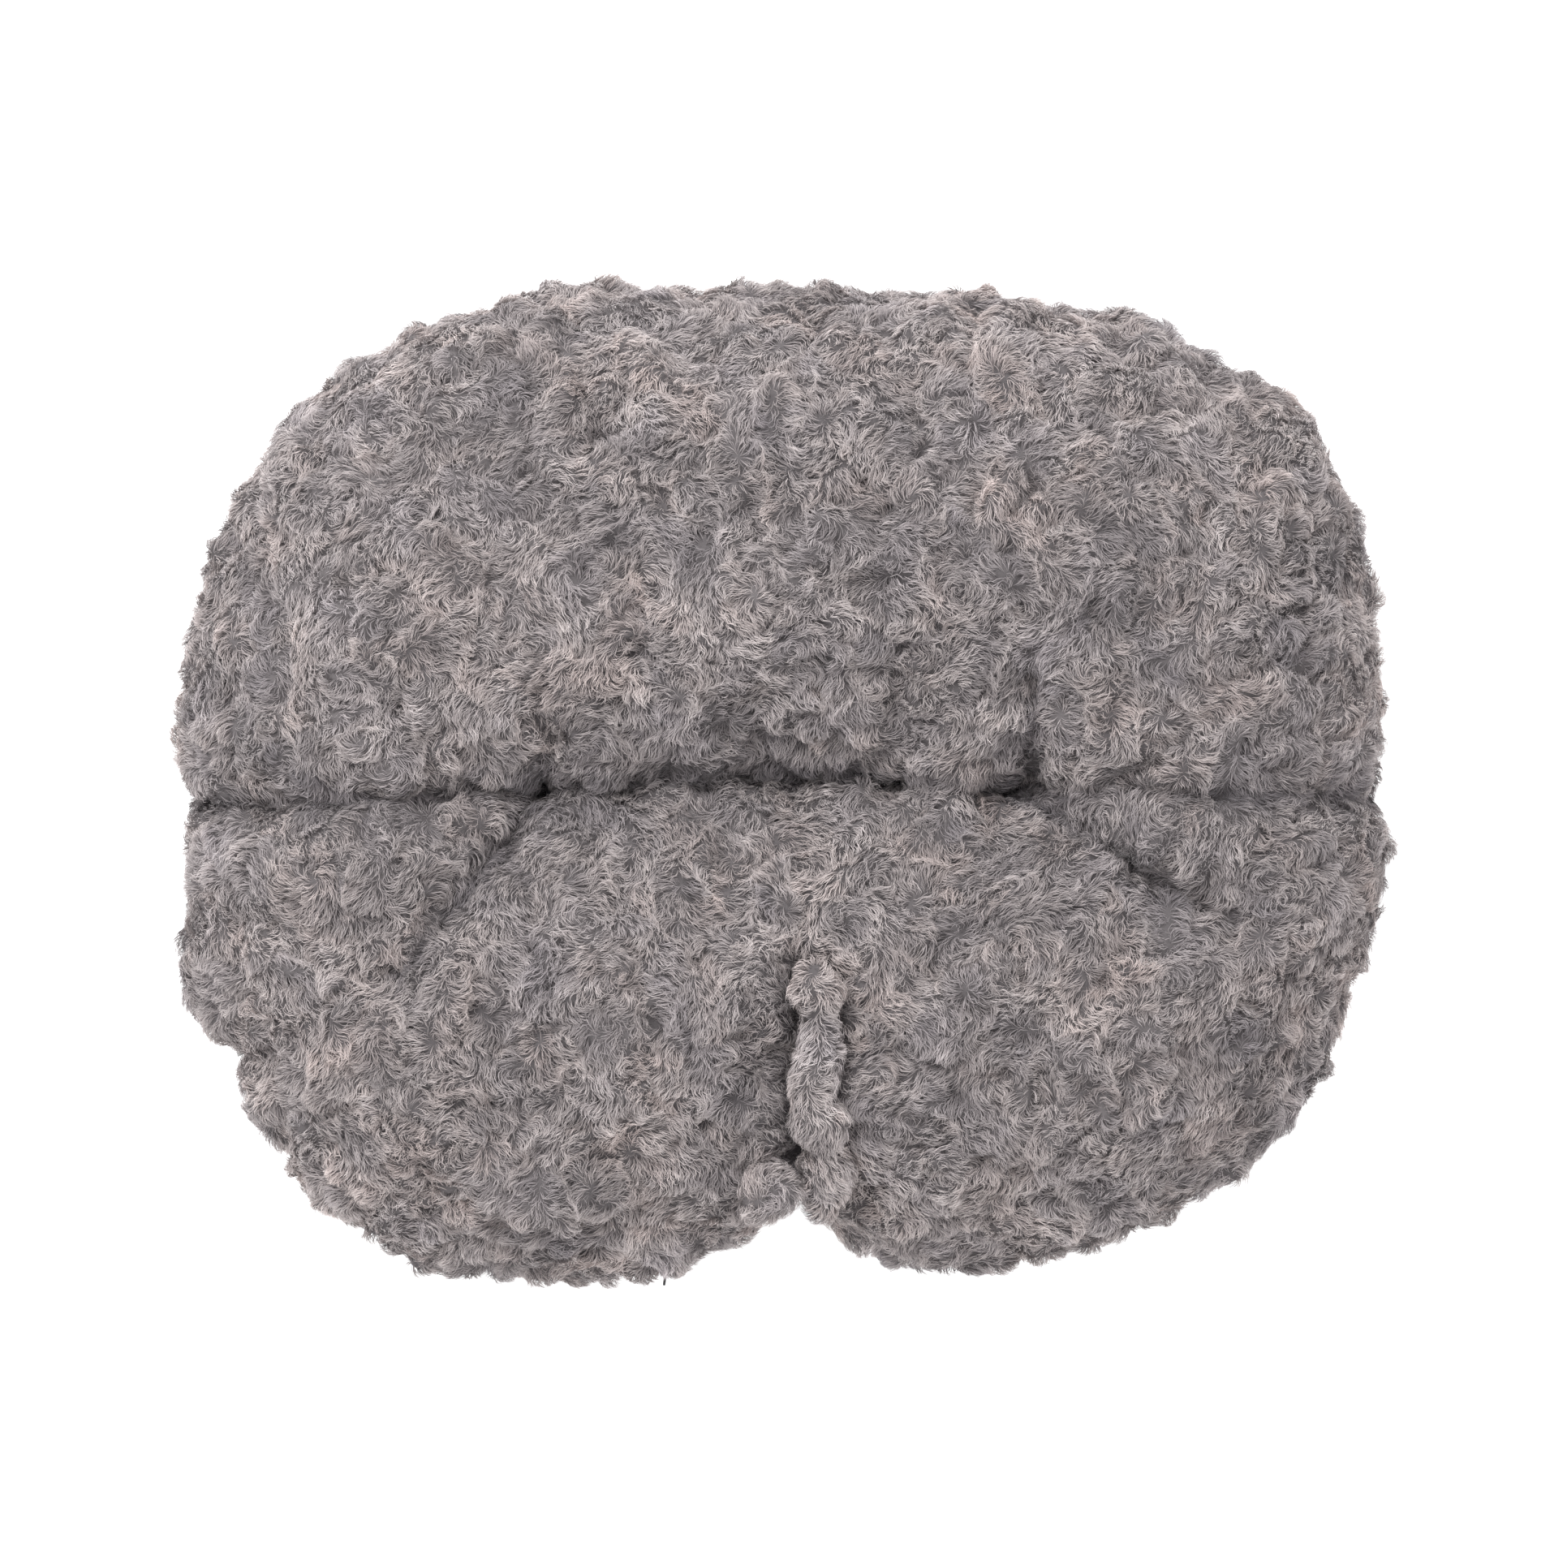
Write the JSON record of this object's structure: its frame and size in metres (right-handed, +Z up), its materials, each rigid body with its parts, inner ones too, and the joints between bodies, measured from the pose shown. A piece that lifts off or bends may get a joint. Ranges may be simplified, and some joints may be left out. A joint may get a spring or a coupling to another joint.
{
  "type": "pet cushion bed",
  "caption": "Oval plush pet bed: a fat fibre-filled bolster ring closed round a slit, with a pinched front seam over a notch, a floor pad and a grip base.",
  "frame": {"origin": "middle of the underside's bounding box, on the surface that the bed lies on", "axes": "+X to the bed's right seen from its front, +Y to its back, +Z up"},
  "size_m": [0.6094, 0.5096, 0.17],
  "materials": {
    "plush": "warm grey short-pile plush in tousled locks, matte with a soft sheen",
    "fibre_fill": "white polyester fibre",
    "floor_fabric": "dark grey short-nap fabric",
    "base_fabric": "dark grey plain weave with grip dots",
    "binding_tape": "dark grey woven binding tape",
    "label_satin": "blank white satin",
    "black_nylon": "black nylon filament"
  },
  "bodies": {
    "root": {"rear_bolster_cover": "plush", "front_left_bolster_cover": "plush", "front_right_bolster_cover": "plush", "front_seam_roll": "plush", "front_seam_foot": "plush", "bolster_fill": "fibre_fill", "floor_pad_fill": "fibre_fill", "floor_panel": "floor_fabric", "base_panel": "base_fabric", "base_binding": "binding_tape", "care_label": "label_satin", "tag_fastener_stub": "black_nylon"}
  },
  "joints": []
}
